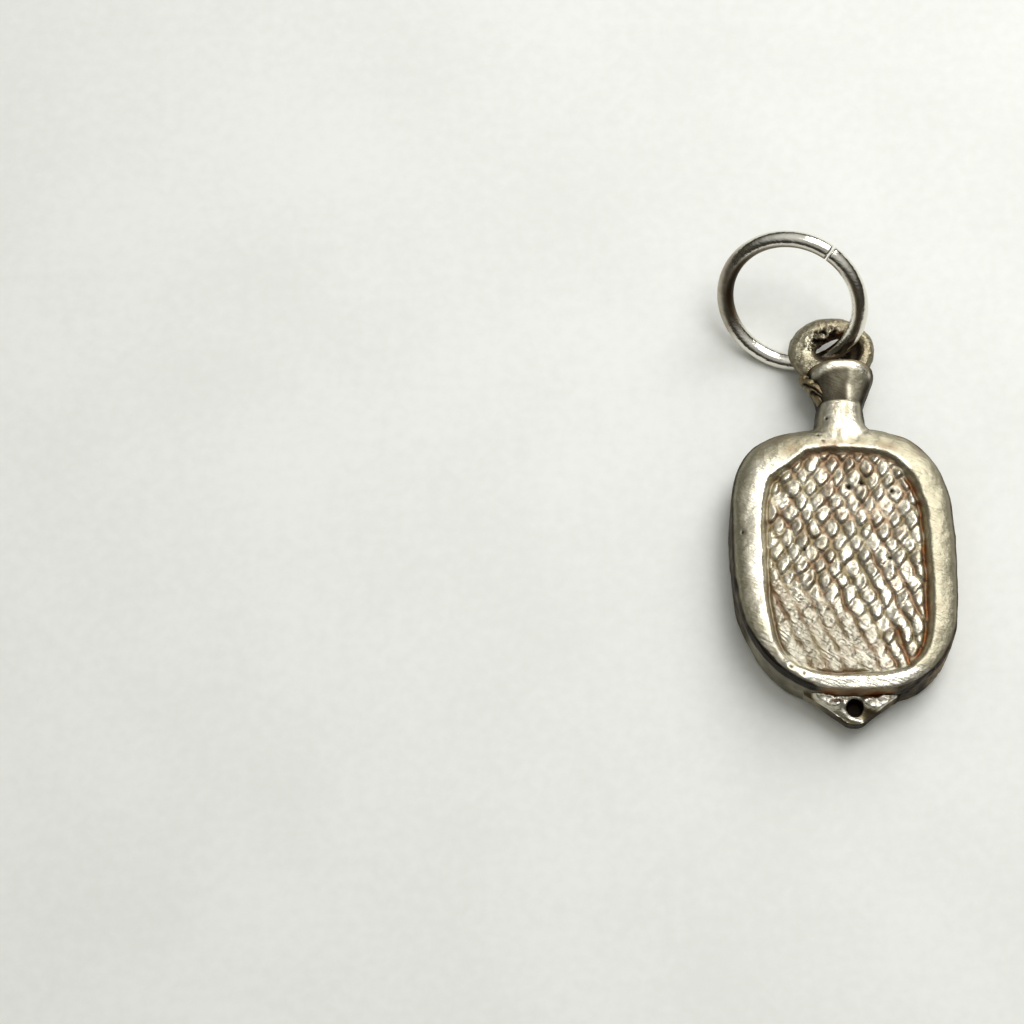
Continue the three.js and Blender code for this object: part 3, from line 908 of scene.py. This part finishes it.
bpy.ops.object.select_all(action="DESELECT")
lumps = []
for x, y, z, length, width, turn in solder_lumps:
    bpy.ops.mesh.primitive_uv_sphere_add(
        segments=32,
        ring_count=20,
        radius=1,
        location=(x, y, z),
        rotation=(0, 0, -turn),
        scale=(length, width, solder_thickness),
    )
    lumps.append(bpy.context.object)
for lump in lumps:
    lump.select_set(True)
bpy.ops.object.transform_apply(location=True, rotation=True, scale=True)
bpy.ops.object.join()
solder = bpy.context.object
solder.name = "solder"
cast(solder, solder_grain, soften=2)
places, normals = points(solder)
slit = np.maximum.reduce([
    near_line(places[:, 0], places[:, 1], *ends, slit_half) for ends in solder_slits
])
places += normals * (0.04 * waves(places, 0.3, 11) - slit_depth * slit)[:, None]
move_points(solder, places)
mottle = 0.5 + 0.5 * waves(places, 0.35, 15)
lay_stains_and_shading(solder, {"tarnish_and_shade": 0.4 + 0.4 * mottle, "rust": 0.15 * mottle, "soot_and_shade": 0.25 + 0.8 * slit})
bring_down(solder, body_place)
solder_silver = silver("solder_silver", (0.44, 0.41, 0.27, 1), (0.23, 0.20, 0.11, 1), 0.32, 1.0)
solder.data.materials.append(solder_silver)
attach(solder, "charm")
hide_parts("loop_solder")

# Jump ring
# A ring of polished silver wire, wound on a rod and cut through once. It is threaded through the eye
# and leans on it, and its two ends meet in an open butt joint at the upper right.
split_angle = math.radians(69.7)
split_gap = 0.09
gap_turn = split_gap / ring_radius

bpy.ops.object.select_all(action="DESELECT")
bpy.ops.mesh.primitive_circle_add(
    vertices=32, radius=ring_wire / 2, location=(ring_radius, 0, 0), rotation=(math.pi / 2, 0, 0)
)
ring = bpy.context.object
ring.name = "ring"
bpy.ops.object.transform_apply(location=True, rotation=True)
bpy.ops.object.mode_set(mode="EDIT")
bpy.ops.mesh.select_all(action="SELECT")
bpy.ops.mesh.spin(steps=180, angle=2 * math.pi - gap_turn, center=(0, 0, 0), axis=(0, 0, 1))
bpy.ops.mesh.select_all(action="DESELECT")
bpy.ops.mesh.select_non_manifold(extend=False)
bpy.ops.mesh.edge_face_add()
bpy.ops.mesh.select_all(action="SELECT")
bpy.ops.mesh.normals_make_consistent(inside=False)
bpy.ops.object.mode_set(mode="OBJECT")
ring.rotation_euler = (0, 0, split_angle + gap_turn / 2)
bpy.ops.object.transform_apply(rotation=True)
ring.rotation_euler = (ring_tilt, 0, ring_heading)
bpy.ops.object.transform_apply(rotation=True)

# Bright outside and where it rubs in the eye. Inside the upper part and in a stripe along the right it
# is
# painted dark: painted dark reflection. The left arc is tarnished and darkened.
places, normals = points(ring)
outward = np.einsum("ij,ij->i", normals, places) / np.linalg.norm(places, axis=1)
upper = rise(places[:, 1], -0.6, 0.6)
left = rise(-places[:, 0], 1.4, 2.5) * rise(places[:, 1], -1.4, -0.4)
right = rise(places[:, 0], 1.4, 2.4)
stripe = np.exp(-((outward - 0.1) / 0.4) ** 2)
dark_reflection = np.clip(rise(-outward, 0.0, 0.6) * upper * (1 - right) + right * stripe, 0, 1)
ring_thread = np.array((Vector(swing["pos_m"]) - ring_middle) * 1000)
at_eye = np.exp(-(np.linalg.norm(places - ring_thread, axis=1) / 1.2) ** 2)
lay_stains_and_shading(ring, {
    "tarnish_and_shade": 0.7 * dark_reflection * (1 - 0.5 * at_eye) + 0.5 * left + 0.12 * at_eye,
    "soot_and_shade": (0.5 - 0.2 * right) * dark_reflection * (1 - at_eye) + 0.3 * left,
    "polish_and_sheen": (1 - dark_reflection * (1 - at_eye)) * (1 - 0.5 * left),
})
bring_down(ring, ring_middle)
ring_silver = silver("ring_silver", (0.80, 0.77, 0.69, 1), (0.40, 0.34, 0.26, 1), 0.22, 0.2)
ring.data.materials.append(ring_silver)
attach(ring, "ring")
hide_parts("jump_ring")
